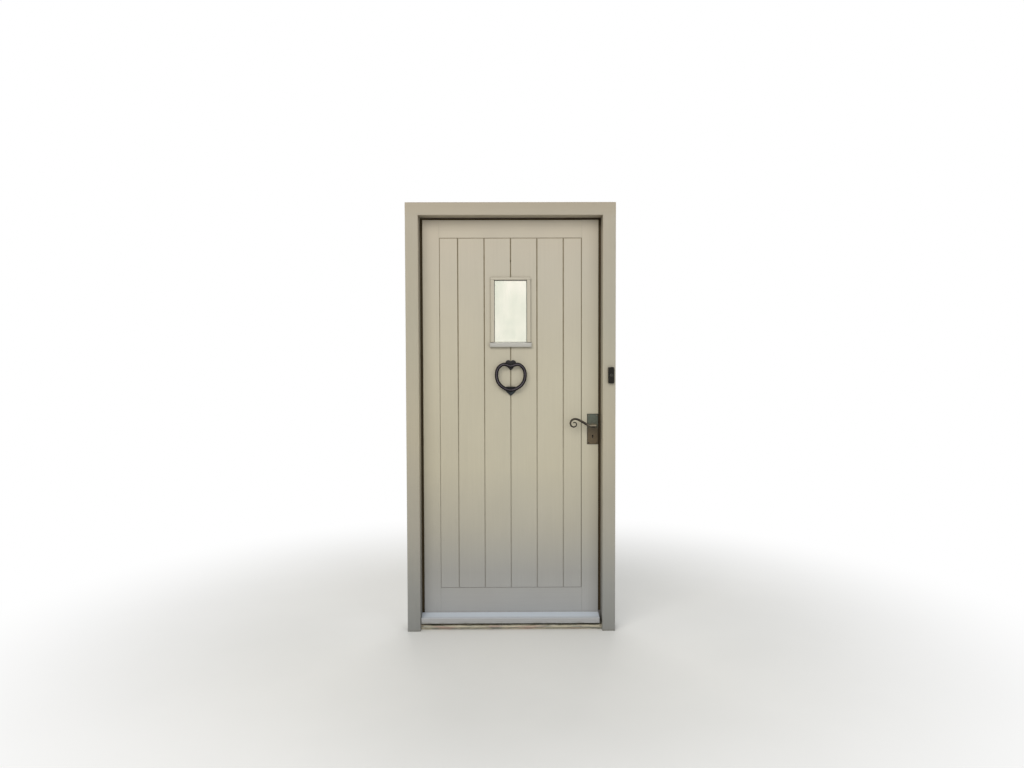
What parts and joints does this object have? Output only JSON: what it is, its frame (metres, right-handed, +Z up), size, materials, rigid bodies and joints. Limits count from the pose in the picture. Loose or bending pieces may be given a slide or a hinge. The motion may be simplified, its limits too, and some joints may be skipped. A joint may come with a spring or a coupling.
{
  "type": "boarded cottage door with frame",
  "caption": "Inward-opening boarded timber cottage door with a small window, heart knocker, scroll lever and weatherboard, in its rebated frame.",
  "frame": {"origin": "underside of the threshold, midway between the jambs and in the middle of the frame depth", "axes": "+X to the right and +Y into the building as seen from outside, +Z up"},
  "size_m": [1.015, 0.1979, 2.085],
  "materials": {
    "frame_paint": "satin greige paint",
    "threshold_paint": "worn paint with primer showing",
    "leaf_paint": "satin greige paint",
    "hidden_timber": "bare softwood and foam board",
    "bar_metal": "galvanised",
    "seal_rubber": "matt",
    "glass": "clear",
    "spacer_metal": "satin",
    "hinge_steel": "satin",
    "screw_steel": "satin",
    "lock_steel": "satin",
    "plate_iron": "pewter black, semi-gloss",
    "black_iron": "black, semi-gloss",
    "bell_plastic": "gloss black",
    "button_plastic": "gloss dark grey"
  },
  "bodies": {
    "frame": {"hinge_jamb": "frame_paint", "lock_jamb": "frame_paint", "head": "frame_paint", "threshold": "threshold_paint", "water_bar": "bar_metal", "weather_seal": "seal_rubber", "hinge_frame_leaves": "hinge_steel", "hinge_pins": "hinge_steel", "strike_plate": "lock_steel", "frame_screws": "screw_steel", "bell_housing": "bell_plastic"},
    "leaf": {"bottom_rail": "leaf_paint", "glazing_gasket": "seal_rubber", "handle_screws": "plate_iron", "hinge_door_leaves": "hinge_steel", "hinge_stile": "leaf_paint", "inner_beads": "leaf_paint", "inner_board_1": "leaf_paint", "inner_board_2": "leaf_paint", "inner_board_3": "leaf_paint", "inner_board_4": "leaf_paint", "inner_board_5": "leaf_paint", "inner_board_6": "leaf_paint", "inner_pane": "glass", "inside_backplate": "plate_iron", "knocker_bolts": "black_iron", "knocker_pin": "black_iron", "knocker_plate": "black_iron", "knocker_strike": "black_iron", "leaf_screws": "screw_steel", "lock_case": "lock_steel", "lock_rail": "hidden_timber", "lock_stile": "leaf_paint", "lower_core": "hidden_timber", "outer_board_1": "leaf_paint", "outer_board_2": "leaf_paint", "outer_board_3": "leaf_paint", "outer_board_4": "leaf_paint", "outer_board_5": "leaf_paint", "outer_board_6": "leaf_paint", "outer_pane": "glass", "outside_backplate": "plate_iron", "spacer_bar": "spacer_metal", "surround_head": "leaf_paint", "surround_left": "leaf_paint", "surround_right": "leaf_paint", "surround_sill": "leaf_paint", "top_rail": "leaf_paint", "upper_core": "hidden_timber", "weatherboard": "leaf_paint", "window_liner": "leaf_paint"},
    "latch": {"latch_bolt": "lock_steel"},
    "deadbolt": {"deadbolt": "lock_steel"},
    "knocker": {"knocker_ring": "black_iron"},
    "bell_button": {"bell_button": "button_plastic"},
    "lever": {"outside_lever": "black_iron", "inside_lever": "black_iron", "spindle": "lock_steel", "follower": "lock_steel"}
  },
  "joints": [
    {"name": "leaf_swing", "type": "hinge", "parent": "frame", "child": "leaf", "pos_m": [-0.4555, 0.071, 0], "axis": [0, 0, 1], "range_deg": [0, 100]},
    {"name": "lever_turn", "type": "hinge", "parent": "leaf", "child": "lever", "pos_m": [0.404, 0.045, 1.004], "axis": [0, -1, 0], "range_deg": [0, 28], "stiffness_Nm_per_rad": 1.2, "springref_deg": -17.19},
    {"name": "latch_slide", "type": "slide", "parent": "leaf", "child": "latch", "axis": [1, 0, 0], "range_m": [-0.013, 0]},
    {"name": "deadbolt_slide", "type": "slide", "parent": "leaf", "child": "deadbolt", "axis": [1, 0, 0], "range_m": [0, 0.02]},
    {"name": "knocker_lift", "type": "hinge", "parent": "leaf", "child": "knocker", "pos_m": [0, -0.008, 1.302], "axis": [-1, 0, 0], "range_deg": [0, 75]},
    {"name": "bell_push", "type": "slide", "parent": "frame", "child": "bell_button", "axis": [0, 1, 0], "range_m": [0, 0.002], "stiffness_N_per_m": 400, "springref_m": -0.001}
  ],
  "couplings": [
    {"joint": "latch_slide", "follows": "lever_turn", "m_per_rad": -0.025578}
  ]
}
